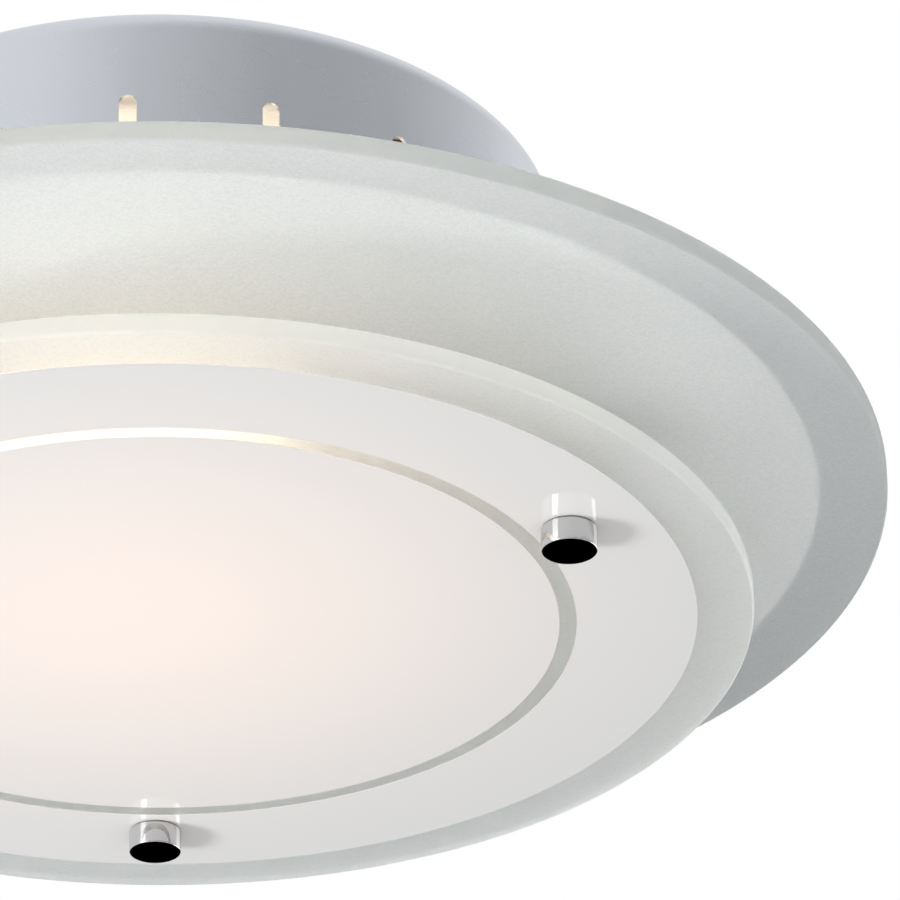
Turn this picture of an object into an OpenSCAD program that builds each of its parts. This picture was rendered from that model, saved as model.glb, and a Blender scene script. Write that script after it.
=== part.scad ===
// Ceiling light with two satin glass discs hung below a round drawn steel pan.
// Millimetres, +Z up. The origin is the centre of the face that touches the ceiling,
// so every piece hangs at a negative height. A "drop" is a distance down from the ceiling.

/* [Ceiling pan] */
// Outer diameter of the drum
pan_d = 221; // [205:1:240]
// Drop from the ceiling to the underside of the flange ring
pan_depth = 92.5; // [88:0.5:110]
// Thickness of the steel sheet
pan_wall = 1; // [0.8:0.1:1.5]
// Outer radius of the drawn corner at the ceiling
pan_corner_r = 8; // [5:0.5:12]
// Height of the flange ring's collar, which is welded inside the drum
collar_h = 12; // [8:1:16]
// Inner radius of the bend from collar to flange
flange_bend_r = 1.5; // [1:0.5:3]
// Flange beyond the circle of the studs
flange_margin = 12; // [9:1:20]
// Width of the ring that touches the ceiling, inside the corner
land_w = 5; // [4:0.5:8]
// How far the middle of the top is pressed down
recess_depth = 3; // [2.5:0.5:5]

/* [Vent slots] */
// Number of slots round the drum
slot_count = 18; // [12:1:20]
// Width of a slot, its ends are round
slot_w = 4.8; // [3:0.2:7]
// Length of a slot, end to end
slot_len = 20; // [10:1:30]
// Drop from the ceiling to the top of a slot
slot_drop = 29; // [20:1:40]
// Direction of the first slot, in degrees from +X
slot_start = -95; // [-180:1:180]

/* [Glass] */
// Diameter of the upper disc
upper_glass_d = 400; // [360:1:460]
// Thickness of the upper disc
upper_glass_t = 6; // [5:1:8]
// Diameter of the opening in the upper disc
opening_d = 194; // [180:1:204]
// Width of the bare satin border of the upper disc
upper_border = 19; // [10:1:25]
// Diameter of the lower disc
lower_glass_d = 324; // [300:1:350]
// Thickness of the lower disc
lower_glass_t = 6; // [5:1:8]
// Height of the open gap between the discs
glass_gap = 27; // [22:1:35]
// Bevel of the ground edges
glass_bevel = 1; // [0.5:0.25:2]
// Diameter of the holes for the studs
glass_hole_d = 8; // [7.6:0.2:9]

/* [Enamel print] */
// Thickness of the fired white enamel
enamel_t = 0.1; // [0.05:0.05:0.3]
// Width of the bare satin border of the lower disc
lower_border = 15.4; // [10:0.2:20]
// Width of the outer white band
band_w = 33; // [31:0.5:36]
// Width of the clear ring between band and middle
clear_ring_w = 4.7; // [3:0.1:8]

/* [Studs and cap nuts] */
// Direction of the first stud, in degrees from +X
first_stud_angle = -29.4; // [-32:0.2:-28]
// Distance from the drum's wall to the stud axis
stud_offset = 13.5; // [12:0.5:16]
// Thread diameter of the studs
stud_d = 4; // [3:0.5:4]
// Diameter of the spacer sleeves
sleeve_d = 10; // [8:0.5:12]
// Diameter of a cap nut
cap_d = 15; // [13:0.5:18]
// Height of a cap nut
cap_h = 6.5; // [6:0.5:9]
// Bevel round the end face of a cap nut
cap_bevel = 0.3; // [0.2:0.1:1]
// Thickness of the clear washer under a cap nut
cap_washer_t = 0.5; // [0.4:0.1:1]
// Thickness of the silicone pads between metal and glass
pad_t = 1; // [0.5:0.1:1.5]
// Diameter of the silicone pads
pad_d = 14; // [12:0.5:16]

/* [Lamps] */
// Diameter of a bulb
bulb_d = 60; // [55:1:62]
// Length of a bulb from contact to tip
bulb_len = 107; // [100:1:112]
// Diameter of the screw cap of a bulb
screw_cap_d = 26.2; // [26:0.1:26.4]
// Clear space between the two bulbs
bulb_gap = 8; // [5:1:14]
// Clear space above the bulbs
bulb_headroom = 16; // [14:1:22]
// Outer diameter of a lampholder
holder_d = 40; // [38:1:42]
// Length of a lampholder
holder_len = 46; // [44:1:50]
// Clear space between a lamp bracket and the drum
bracket_clear = 5; // [3:0.5:9]
// Thickness of the bracket steel
bracket_t = 1.2; // [1:0.1:2]

/* [Wiring] */
// Bore of the rubber grommet for the supply cable
grommet_bore_d = 10; // [8:0.5:12]
// Diameter of an insulated lead
lead_d = 1.8; // [1.4:0.1:1.8]
// Distance between the three ways of the terminal block
way_pitch = 9; // [8:0.5:11]
// Height of the terminal block
terminal_h = 13; // [11:0.5:14]
// Length of the terminal block along its wires
terminal_len = 18; // [16:1:22]

/* [Ceiling screws] */
// Distance between the two slots for the ceiling screws
screw_spacing = 148; // [142:1:156]
// Width of a screw slot
screw_slot_w = 5.5; // [4.5:0.5:6.5]
// Length of a screw slot, end to end
screw_slot_len = 14; // [10:1:18]

/* [Hidden] */

// Fits
cut = 1;                 // overrun of every cut
slide_fit = 0.05;        // radial clearance of metal on metal
loose_fit = 0.3;         // clearance between bodies that move past each other
print_gap = 0.02;        // keeps the enamel just off the glass it is fired on
smooth = 180;            // steps of a large circle
fine = 48;               // steps of a small circle

// Ceiling pan
pan_r = pan_d / 2;
pan_in_r = pan_r - pan_wall;
land_out_r = pan_r - pan_corner_r;
recess_r = land_out_r - land_w;               // the step down to the middle leans at 45 degrees
top_drop = recess_depth + pan_wall;          // underside of the pressed middle
flange_bend_out_r = flange_bend_r + pan_wall;
flange_flat_r = pan_in_r + flange_bend_r;
grommet_bore_r = grommet_bore_d / 2;
grommet_wall = 3;
grommet_groove_r = grommet_bore_r + grommet_wall;   // where the grommet sits in the sheet
grommet_flange = 2.5;                        // how far its rims reach over the sheet
grommet_rim_t = 1.5;

// Stack below the flange
upper_glass_drop = pan_depth + pad_t;
upper_glass_low = upper_glass_drop + upper_glass_t;
sleeve_len = glass_gap - 2 * pad_t;
sleeve_drop = upper_glass_low + pad_t;
lower_glass_drop = upper_glass_low + glass_gap;
lower_glass_low = lower_glass_drop + lower_glass_t;
enamel_low = lower_glass_low + print_gap + enamel_t;
cap_washer_low = enamel_low + cap_washer_t;
cap_bore_share = 0.73;                       // depth of the blind bore, of the cap's height
cap_bore_depth = cap_h * cap_bore_share;
stud_end_drop = cap_washer_low + cap_bore_depth - loose_fit - slide_fit;
stud_r = stud_d / 2;
stud_head_r = stud_d;
stud_head_t = 1.2;
bush_clear = 0.2;                            // silicone against stud and glass
bush_bore_r = stud_r + bush_clear;

// Print
opening_r = opening_d / 2;
lower_r = lower_glass_d / 2;
band_out_r = lower_r - lower_border;
band_in_r = band_out_r - band_w;
middle_r = band_in_r - clear_ring_w;
upper_r = upper_glass_d / 2;
print_in_r = opening_r + 2 * glass_bevel;    // print on the back of the upper disc
pad_clear_r = pad_d / 2 + bush_clear;
print_land = 2;                              // print left between its inner edge and a pad

// Studs, outside the drum and clear of the opening in the upper disc
stud_circle_r = max(pan_r + stud_offset, print_in_r + print_land + pad_clear_r);
flange_r = stud_circle_r + flange_margin;

// Lamps lie side by side, head to foot, each along local +Z out of its holder
bulb_r = bulb_d / 2;
lamp_offset = (bulb_d + bulb_gap) / 2;
lamp_drop = top_drop + bulb_headroom + bulb_r;
holder_r = holder_d / 2;
holder_back = sqrt(pow(pan_in_r, 2) - pow(lamp_offset + holder_r, 2)) - bracket_clear;
holder_floor = 14;                           // thickness behind the lamp's socket
holder_foot_r = holder_r - 3;
holder_neck_len = 10;
holder_lip_r = 1.5;
holder_mouth_r = holder_r - 3.5;
holder_mouth_len = 9;
holder_mouth_z = holder_len - holder_mouth_len;
screw_cap_r = screw_cap_d / 2;
shell_t = 0.6;                               // brass of the socket's screw shell
shell_in_r = screw_cap_r + loose_fit;
shell_r = shell_in_r + shell_t;
shell_lip_r = shell_r + 1.2;
shell_z = holder_floor + 3;
holder_cavity_r = shell_r + slide_fit;
contact_t = 0.5;                             // bronze strip under the lamp
contact_w = 6;
contact_len = 22;
contact_rise = 2;                            // how far its tongue stands off the floor
tip_z = holder_floor + contact_rise + slide_fit;
eyelet_r = 4.5;
eyelet_t = 1;
insulator_low_r = 5.5;
insulator_top_r = 10;
insulator_t = 3;
insulator_z = tip_z + eyelet_t;
screw_cap_z = insulator_z + insulator_t;
screw_cap_len = 22;
screw_cap_sheet = 0.4;
screw_cap_floor_r = insulator_top_r - 1;     // hole in the cap's floor, over the black glass
neck_r = screw_cap_r - screw_cap_sheet - slide_fit;
neck_z = screw_cap_z + screw_cap_len / 2;
bulb_wall = 1;
bulb_shoulder_r = 36;                        // hollow curve from neck to globe
globe_z = tip_z + bulb_len - bulb_r;
shoulder_r = neck_r + bulb_shoulder_r;
shoulder_z = globe_z - sqrt(pow(bulb_r + bulb_shoulder_r, 2) - pow(shoulder_r, 2));

// Lamp brackets
bracket_bend_r = 2;
bracket_half_w = holder_foot_r;
bracket_foot_len = 20;
bracket_hole_d = 10;
bracket_reach = lamp_drop - top_drop;        // from the lamp's axis up to the pan
rivet_r = 1.6;
rivet_head_r = 3.2;
rivet_head_t = 1.1;
rivet_spread_share = 0.55;                   // of the bracket's half width
screw_r = 1.5;
screw_head_r = 2.8;
screw_head_t = 1.8;
screw_spread = 11;                           // from the lamp's axis to a holder screw
screw_len = 8;

// Terminal block and earth point, in the space that the tip of the first lamp leaves free
terminal_inset = 24;                         // from the holder's back to the block's middle
terminal_x = holder_back - terminal_inset;
terminal_y = -lamp_offset;
terminal_w = 3 * way_pitch;
terminal_groove = 1.2;
terminal_groove_share = 0.5;                 // of the block's height
terminal_mid_share = 0.42;                   // height of the tubes in the block, from the pan
terminal_mid = top_drop + terminal_h * terminal_mid_share;
terminal_rivet_depth = 2;
tube_t = 0.65;
tube_bore_r = 1.95;
tube_r = tube_bore_r + tube_t;
clamp_screw_r = 1.3;
clamp_head_r = 2;
clamp_head_t = 1.8;
clamp_slot_w = 0.5;
earth_gap = 34;                              // from the block to the earth screw
earth_x = terminal_x - earth_gap;
earth_y = terminal_y;
earth_screw_r = 2;
earth_head_r = 4;
earth_nut_t = 2.4;
earth_nut_r = 4;
earth_screw_over = 1;                        // thread that shows past the nut
tag_t = 0.8;
tag_r = 4;
tag_neck_w = 3;
tag_barrel_at = 6;
tag_barrel_r = 1.5;
tag_barrel_len = 5;

// Routes of the leads: first lamp, second lamp, earth
lead_r = lead_d / 2;
lead_spacing = 9;                            // between the two leads of a holder
lead_sides = 8;
lead_steps = 4;                              // rings from one point of a route to the next
live_routes = [
    [[-85.3, -38.5, -42], [-85.3, -38.5, -30], [-85.3, -38.5, -16], [-78, -42, -10.4], [-45, -54, -10.4],
     [0, -58, -10.4], [50, -58, -10.4], [82, -56, -10.4], [90, -49, -10.4], [84, -43.4, -10.4],
     [76, -43, -10.4], [68, -43, -10.4]],
    [[85.3, 38.5, -42], [85.3, 38.5, -30], [85.3, 38.5, -21], [86.6, 35, -12], [88, 27, -8.5],
     [88.4, 17, -8.5], [91.5, 4, -8.5], [96, -12, -8.5], [95.5, -29, -8.5], [87, -41, -8.5],
     [76, -43, -8.5], [68, -43, -8.5]],
];
neutral_routes = [
    [[-85.3, -29.5, -42], [-85.3, -29.5, -30], [-85.3, -29.5, -16], [-78, -28, -10.4], [-45, -25, -10.4],
     [0, -22, -10.4], [45, -14, -10.4], [78, -12, -10.4], [89, -18, -10.4], [84, -24, -10.4],
     [76, -25, -10.4], [68, -25, -10.4]],
    [[85.3, 29.5, -42], [85.3, 29.5, -30], [85.3, 29.5, -21], [84.8, 27, -13], [84, 20, -8.5],
     [85, 6, -8.5], [87, -8, -8.5], [84, -21, -8.5], [76, -25, -8.5], [68, -25, -8.5]],
];
earth_route = [[39, -34, -6.3], [43.6, -34, -6.3], [46.5, -34, -6.4], [52, -34, -8.3], [58, -34, -9.46],
    [64, -34, -9.46]];

stud_count = 3;

// Colours
pan_colour = [0.80, 0.81, 0.83];
glass_colour = [0.86, 0.90, 0.87, 0.8];
enamel_colour = [0.96, 0.96, 0.96];
chrome_colour = [0.75, 0.76, 0.78];
steel_colour = [0.62, 0.63, 0.65];
brass_colour = [0.80, 0.67, 0.35];
silicone_colour = [0.88, 0.88, 0.86];
porcelain_colour = [0.93, 0.92, 0.88];

// Placing
module dropped(d) {
    translate([0, 0, -d]) children();
}

module at_stud(i) {
    rotate([0, 0, first_stud_angle + i * 360 / stud_count]) translate([stud_circle_r, 0, 0]) children();
}

module at_each_stud() {
    for (i = [0:stud_count - 1]) at_stud(i) children();
}

// Local +Z runs out of the lampholder along the lamp, local +X points down
module at_lamp(i) {
    rotate([0, 0, 180 * i]) translate([-holder_back, -lamp_offset, -lamp_drop]) rotate([0, 90, 0]) children();
}

module at_both_lamps() {
    for (i = [0, 1]) at_lamp(i) children();
}

// A ring or washer whose top face is at the given drop
module ring_at(d, out_r, in_r, t, steps = fine) {
    dropped(d + t) difference() {
        cylinder(r = out_r, h = t, $fn = steps);
        translate([0, 0, -cut]) cylinder(r = in_r, h = t + 2 * cut, $fn = steps);
    }
}

// A hole or a peg from one drop down to another
module peg(d_from, d_to, r) {
    dropped(d_to) cylinder(r = r, h = d_to - d_from, $fn = fine);
}

module stud_holes(d_from, d_to, r) {
    at_each_stud() peg(d_from - cut, d_to + cut, r);
}

// A slot outline with round ends
module stadium(len, w) {
    square([len - w, w], center = true);
    for (s = [-1, 1]) translate([s * (len - w) / 2, 0]) circle(d = w, $fn = fine);
}

// Quarter of a ring in the profile plane, for bends in sheet metal
module bend_2d(centre, in_r, out_r, toward) {
    translate(centre) intersection() {
        difference() {
            circle(r = out_r, $fn = 2 * fine);
            circle(r = in_r, $fn = 2 * fine);
        }
        translate([min(toward[0], 0) * out_r, min(toward[1], 0) * out_r]) square(out_r);
    }
}

// Ceiling pan
module pan_profile() {
    // pressed middle, leaning step and the ring that touches the ceiling
    translate([grommet_groove_r, -top_drop]) square([recess_r - recess_depth - grommet_groove_r, pan_wall]);
    polygon([
        [recess_r - recess_depth, -top_drop], [recess_r, -pan_wall],
        [recess_r, 0], [recess_r - recess_depth, -recess_depth],
    ]);
    translate([recess_r, -pan_wall]) square([land_w, pan_wall]);
    // drawn corner and drum wall
    bend_2d([land_out_r, -pan_corner_r], pan_corner_r - pan_wall, pan_corner_r, [1, 1]);
    translate([pan_in_r, -pan_depth + flange_bend_out_r])
        square([pan_wall, pan_depth - flange_bend_out_r - pan_corner_r]);
}

// Rolled angle ring: collar inside the drum's mouth, flange outward under its edge
module flange_ring_profile() {
    translate([pan_in_r - pan_wall, -pan_depth + flange_bend_out_r])
        square([pan_wall, collar_h - flange_bend_out_r]);
    bend_2d([flange_flat_r, -pan_depth + flange_bend_out_r], flange_bend_r, flange_bend_out_r, [-1, -1]);
    translate([flange_flat_r, -pan_depth]) square([flange_r - flange_flat_r, pan_wall]);
}

module vent_slots() {
    for (i = [0:slot_count - 1])
        rotate([0, 0, slot_start + i * 360 / slot_count])
            translate([pan_in_r - cut, 0, -slot_drop - slot_len / 2]) rotate([90, 0, 90])
                linear_extrude(pan_wall + 2 * cut) rotate(90) stadium(slot_len, slot_w);
}

module ceiling_screw_slots() {
    for (s = [-1, 1])
        translate([0, s * screw_spacing / 2, -top_drop - cut])
            linear_extrude(pan_wall + 2 * cut) rotate(90) stadium(screw_slot_len, screw_slot_w);
}

module rivet_places() {
    for (i = [0, 1], s = [-1, 1])
        rotate([0, 0, 180 * i])
            translate([bracket_bend_r + bracket_foot_len / 2 - holder_back,
                       s * bracket_half_w * rivet_spread_share - lamp_offset, 0]) children();
}

module ceiling_pan() {
    color(pan_colour) difference() {
        rotate_extrude($fn = smooth) pan_profile();
        vent_slots();
        ceiling_screw_slots();
        rivet_places() peg(recess_depth - cut, top_drop + cut, rivet_r);
        translate([terminal_x, terminal_y, 0]) peg(recess_depth - cut, top_drop + cut, rivet_r);
        translate([earth_x, earth_y, 0]) peg(recess_depth - cut, top_drop + cut, earth_screw_r);
    }
}

module flange_ring() {
    color(pan_colour) difference() {
        rotate_extrude($fn = smooth) flange_ring_profile();
        stud_holes(pan_depth - pan_wall, pan_depth, stud_r);
    }
}

module cable_grommet() {
    color([0.2, 0.2, 0.2]) rotate_extrude($fn = fine) difference() {
        translate([grommet_bore_r, -top_drop - grommet_rim_t])
            square([grommet_groove_r + grommet_flange - grommet_bore_r, pan_wall + 2 * grommet_rim_t]);
        translate([grommet_groove_r, -top_drop]) square([grommet_flange + cut, pan_wall]);
    }
}

// Press-in studs, head above the flange
module pan_studs() {
    color(steel_colour) at_each_stud() {
        peg(pan_depth - pan_wall - stud_head_t, pan_depth - pan_wall, stud_head_r);
        peg(pan_depth - pan_wall, stud_end_drop, stud_r);
    }
}

// Disc with bevelled edges, its back at the given drop
module glass_disc(r, t, d) {
    dropped(d + t) rotate_extrude($fn = smooth) polygon([
        [0, 0], [r - glass_bevel, 0], [r, glass_bevel],
        [r, t - glass_bevel], [r - glass_bevel, t], [0, t],
    ]);
}

// Cutter for a round opening whose edges are bevelled too
module glass_opening(r, t, d) {
    dropped(d + t) rotate_extrude($fn = smooth) polygon([
        [0, -cut], [r + glass_bevel + cut, -cut], [r, glass_bevel],
        [r, t - glass_bevel], [r + glass_bevel + cut, t + cut], [0, t + cut],
    ]);
}

module upper_glass() {
    color(glass_colour) difference() {
        glass_disc(upper_r, upper_glass_t, upper_glass_drop);
        glass_opening(opening_r, upper_glass_t, upper_glass_drop);
        stud_holes(upper_glass_drop, upper_glass_low, glass_hole_d / 2);
    }
}

// White print on the back of the upper disc, with the border left bare
module upper_enamel() {
    color(enamel_colour) difference() {
        ring_at(upper_glass_drop - print_gap - enamel_t, upper_r - upper_border,
                print_in_r, enamel_t, smooth);
        stud_holes(pan_depth, upper_glass_drop, pad_clear_r);
    }
}

// Silicone bush: a pad between metal and glass, and a sleeve in the hole of the glass
module flanged_bush(pad_drop, glass_t) {
    difference() {
        union() {
            peg(pad_drop, pad_drop + pad_t, pad_d / 2);
            peg(pad_drop, pad_drop + pad_t + glass_t - bush_clear, glass_hole_d / 2 - bush_clear);
        }
        peg(pad_drop - cut, pad_drop + pad_t + glass_t + cut, bush_bore_r);
    }
}

module upper_glass_bushes() {
    color(silicone_colour) at_each_stud() flanged_bush(pan_depth, upper_glass_t);
}

module upper_glass_washers() {
    color(silicone_colour) at_each_stud() ring_at(upper_glass_low, pad_d / 2, bush_bore_r, pad_t);
}

module spacer_sleeves() {
    color(chrome_colour) at_each_stud() ring_at(sleeve_drop, sleeve_d / 2, stud_r + slide_fit, sleeve_len);
}

module lower_glass_bushes() {
    color(silicone_colour) at_each_stud() flanged_bush(lower_glass_drop - pad_t, lower_glass_t);
}

module lower_glass() {
    color(glass_colour) difference() {
        glass_disc(lower_r, lower_glass_t, lower_glass_drop);
        stud_holes(lower_glass_drop, lower_glass_low, glass_hole_d / 2);
    }
}

module enamel_middle() {
    color(enamel_colour) dropped(enamel_low) cylinder(r = middle_r, h = enamel_t, $fn = smooth);
}

module enamel_band() {
    color(enamel_colour) difference() {
        ring_at(lower_glass_low + print_gap, band_out_r, band_in_r, enamel_t, smooth);
        stud_holes(lower_glass_low, enamel_low, glass_hole_d / 2);
    }
}

module cap_washer(i) {
    color([0.9, 0.9, 0.9, 0.6]) at_stud(i) ring_at(enamel_low, cap_d / 2 - cap_bevel, bush_bore_r, cap_washer_t);
}

// Turned cap nut with a blind thread, polished end face down
module cap_nut(i) {
    color(chrome_colour) at_stud(i) dropped(cap_washer_low + cap_h) difference() {
        rotate_extrude($fn = 2 * fine) polygon([
            [0, 0], [cap_d / 2 - cap_bevel, 0], [cap_d / 2, cap_bevel],
            [cap_d / 2, cap_h - cap_bevel / 2], [cap_d / 2 - cap_bevel / 2, cap_h], [0, cap_h],
        ]);
        translate([0, 0, cap_h - cap_bore_depth])
            cylinder(r = stud_r + slide_fit, h = cap_bore_depth + cut, $fn = fine);
    }
}

// Lamp brackets: bent strip, foot riveted to the pan, round end behind the holder
module bracket_side_2d() {
    up = -bracket_reach;
    bend_out_r = bracket_bend_r + bracket_t;
    translate([up + bend_out_r, -bracket_t]) square([bracket_reach - bend_out_r + bracket_half_w, bracket_t]);
    bend_2d([up + bend_out_r, bracket_bend_r], bracket_bend_r, bend_out_r, [-1, -1]);
    translate([up, bracket_bend_r]) square([bracket_t, bracket_foot_len]);
}

module bracket_front_2d() {
    translate([-bracket_reach - cut, -bracket_half_w]) square([bracket_reach + cut, 2 * bracket_half_w]);
    circle(r = bracket_half_w, $fn = 2 * fine);
}

module holder_screw_places() {
    for (s = [-1, 1]) translate([0, s * screw_spread, 0]) children();
}

module lamp_bracket(i) {
    color(steel_colour) difference() {
        at_lamp(i) intersection() {
            translate([0, bracket_half_w, 0]) rotate([90, 0, 0])
                linear_extrude(2 * bracket_half_w) bracket_side_2d();
            translate([0, 0, -bracket_t - cut])
                linear_extrude(bracket_t + bracket_bend_r + bracket_foot_len + 2 * cut) bracket_front_2d();
        }
        at_lamp(i) translate([0, 0, -bracket_t - cut]) {
            cylinder(d = bracket_hole_d, h = bracket_t + 2 * cut, $fn = fine);
            holder_screw_places() cylinder(r = screw_r, h = bracket_t + 2 * cut, $fn = fine);
        }
        rivet_places() peg(top_drop - cut, top_drop + bracket_t + cut, rivet_r);
    }
}

module bracket_rivets() {
    color(steel_colour) rivet_places() {
        peg(recess_depth - rivet_head_t, recess_depth, rivet_head_r);
        peg(recess_depth, top_drop + bracket_t, rivet_r);
        peg(top_drop + bracket_t, top_drop + bracket_t + rivet_head_t, rivet_head_r);
    }
}

// Two screws hold each lampholder on its bracket
module holder_screws() {
    color(steel_colour) at_both_lamps() holder_screw_places() {
        translate([0, 0, -bracket_t]) cylinder(r = screw_r, h = bracket_t + screw_len, $fn = fine);
        translate([0, 0, -bracket_t - screw_head_t]) cylinder(r = screw_head_r, h = screw_head_t, $fn = fine);
    }
}

// Porcelain lampholder: foot, cone, body with a round lip, and a stepped socket
module holder_profile() {
    difference() {
        union() {
            polygon([
                [0, 0], [holder_foot_r, 0], [holder_foot_r, holder_neck_len],
                [holder_r, holder_neck_len + holder_r - holder_foot_r], [holder_r, holder_len - holder_lip_r],
                [holder_r - holder_lip_r, holder_len], [0, holder_len],
            ]);
            translate([holder_r - holder_lip_r, holder_len - holder_lip_r]) circle(r = holder_lip_r, $fn = fine);
        }
        translate([0, holder_floor]) square([holder_cavity_r, holder_len]);
        translate([0, holder_mouth_z]) square([holder_mouth_r, holder_len]);
    }
}

module lampholder(i) {
    color(porcelain_colour) at_lamp(i) difference() {
        rotate_extrude($fn = 2 * fine) holder_profile();
        translate([0, 0, -cut]) holder_screw_places() cylinder(r = screw_r, h = screw_len + cut, $fn = fine);
        // two leads enter on the side that faces the pan
        for (s = [-1, 1]) translate([0, s * lead_spacing / 2, holder_neck_len / 2]) rotate([0, -90, 0])
            cylinder(r = lead_r + slide_fit, h = holder_foot_r + cut, $fn = fine);
    }
}

module screw_shell(i) {
    color(brass_colour) at_lamp(i) rotate_extrude($fn = 2 * fine) {
        translate([shell_in_r, shell_z]) square([shell_t, holder_mouth_z - shell_z]);
        translate([shell_in_r, holder_mouth_z]) square([shell_lip_r - shell_in_r, shell_t]);
    }
}

// Bronze strip on the socket's floor, with a tongue folded up under the lamp
module centre_contact(i) {
    color(brass_colour) at_lamp(i) translate([0, contact_w / 2, holder_floor]) rotate([90, 0, 0])
        linear_extrude(contact_w) polygon([
            [-contact_len / 2, 0], [contact_len / 2, 0], [contact_len / 2, contact_t],
            [contact_t - contact_len / 2 + contact_rise, contact_t],
            [-eyelet_r, contact_rise - contact_t], [eyelet_r, contact_rise - contact_t],
            [eyelet_r, contact_rise], [-eyelet_r, contact_rise],
            [-contact_len / 2, contact_t],
        ]);
}

// Bulb, opal glass blown with a round globe and a hollow shoulder
module bulb_outline(inset) {
    intersection() {
        union() {
            translate([0, globe_z]) circle(r = bulb_r - inset, $fn = 2 * smooth);
            difference() {
                polygon([
                    [0, neck_z], [neck_r - inset, neck_z], [neck_r - inset, shoulder_z],
                    [shoulder_r, shoulder_z], [0, globe_z],
                ]);
                translate([shoulder_r, shoulder_z]) circle(r = bulb_shoulder_r + inset, $fn = 2 * smooth);
            }
        }
        translate([0, neck_z]) square([bulb_d, bulb_len]);
    }
}

module bulb(i) {
    color([1, 0.97, 0.9]) at_lamp(i) rotate_extrude($fn = smooth) difference() {
        bulb_outline(0);
        bulb_outline(bulb_wall);
    }
}

module bulb_cap(i) {
    color(chrome_colour) at_lamp(i) rotate_extrude($fn = 2 * fine) {
        translate([screw_cap_r - screw_cap_sheet, screw_cap_z]) square([screw_cap_sheet, screw_cap_len]);
        translate([screw_cap_floor_r, screw_cap_z]) square([screw_cap_r - screw_cap_floor_r, screw_cap_sheet]);
    }
}

module bulb_insulator(i) {
    color([0.1, 0.1, 0.1]) at_lamp(i) translate([0, 0, insulator_z])
        cylinder(r1 = insulator_low_r, r2 = insulator_top_r, h = insulator_t, $fn = 2 * fine);
}

module bulb_contact(i) {
    color(steel_colour) at_lamp(i) translate([0, 0, tip_z]) cylinder(r = eyelet_r, h = eyelet_t, $fn = fine);
}

// Terminal block with three ways, screws facing down
module at_ways() {
    for (k = [-1, 0, 1]) translate([terminal_x, terminal_y + k * way_pitch, 0]) children();
}

module at_clamp_screws() {
    for (s = [-1, 1]) at_ways() translate([s * terminal_len / 4, 0, 0]) children();
}

module along_way(len) {
    dropped(terminal_mid) translate([-len / 2, 0, 0]) rotate([0, 90, 0]) children();
}

module terminal_block() {
    color([0.95, 0.95, 0.93]) difference() {
        translate([terminal_x - terminal_len / 2, terminal_y - terminal_w / 2, -top_drop - terminal_h])
            cube([terminal_len, terminal_w, terminal_h]);
        // grooves between the ways
        for (s = [-1, 1])
            translate([terminal_x - terminal_len / 2 - cut, terminal_y + s * way_pitch / 2 - terminal_groove / 2,
                       -top_drop - terminal_h - cut])
                cube([terminal_len + 2 * cut, terminal_groove, terminal_h * terminal_groove_share + cut]);
        at_ways() along_way(terminal_len + 2 * cut)
            cylinder(r = tube_r, h = terminal_len + 2 * cut, $fn = fine);
        at_clamp_screws() peg(terminal_mid, top_drop + terminal_h + cut, clamp_head_r + slide_fit);
        translate([terminal_x, terminal_y, 0]) peg(top_drop - cut, top_drop + terminal_rivet_depth, rivet_r);
    }
}

module terminal_tubes() {
    color(brass_colour) difference() {
        at_ways() along_way(terminal_len) cylinder(r = tube_r, h = terminal_len, $fn = fine);
        at_ways() along_way(terminal_len + 2 * cut)
            cylinder(r = tube_bore_r, h = terminal_len + 2 * cut, $fn = fine);
        at_clamp_screws() peg(terminal_mid, terminal_mid + tube_r + cut, clamp_screw_r);
    }
}

module terminal_screws() {
    color(steel_colour) at_clamp_screws() difference() {
        union() {
            peg(terminal_mid + tube_bore_r, terminal_mid + tube_r, clamp_screw_r);
            peg(terminal_mid + tube_r, terminal_mid + tube_r + clamp_head_t, clamp_head_r);
        }
        dropped(terminal_mid + tube_r + clamp_head_t + cut)
            translate([-clamp_head_r - cut, -clamp_slot_w / 2, 0])
                cube([2 * (clamp_head_r + cut), clamp_slot_w, clamp_head_t / 2 + cut]);
    }
}

module terminal_rivet() {
    color(steel_colour) translate([terminal_x, terminal_y, 0]) {
        peg(recess_depth - rivet_head_t, recess_depth, rivet_head_r);
        peg(recess_depth, top_drop + terminal_rivet_depth, rivet_r);
    }
}

// Earth point: screw through the pan, tag with a crimp barrel, nut below
module at_earth() {
    translate([earth_x, earth_y, 0]) children();
}

module earth_screw() {
    color(brass_colour) at_earth() {
        peg(recess_depth - rivet_head_t, recess_depth, earth_head_r);
        peg(recess_depth, top_drop + tag_t + earth_nut_t + earth_screw_over, earth_screw_r);
        dropped(top_drop + tag_t + earth_nut_t) cylinder(r = earth_nut_r, h = earth_nut_t, $fn = 6);
    }
}

module earth_tag() {
    color(steel_colour) at_earth() {
        dropped(top_drop + tag_t) difference() {
            union() {
                cylinder(r = tag_r, h = tag_t, $fn = fine);
                translate([0, -tag_neck_w / 2, 0]) cube([tag_barrel_at + tag_barrel_len, tag_neck_w, tag_t]);
            }
            translate([0, 0, -cut]) cylinder(r = earth_screw_r, h = tag_t + 2 * cut, $fn = fine);
        }
        dropped(top_drop + tag_t + tag_barrel_r) translate([tag_barrel_at, 0, 0]) rotate([0, 90, 0]) difference() {
            cylinder(r = tag_barrel_r, h = tag_barrel_len, $fn = fine);
            translate([0, 0, -cut]) cylinder(r = lead_r + slide_fit, h = tag_barrel_len + 2 * cut, $fn = fine);
        }
    }
}

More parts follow.
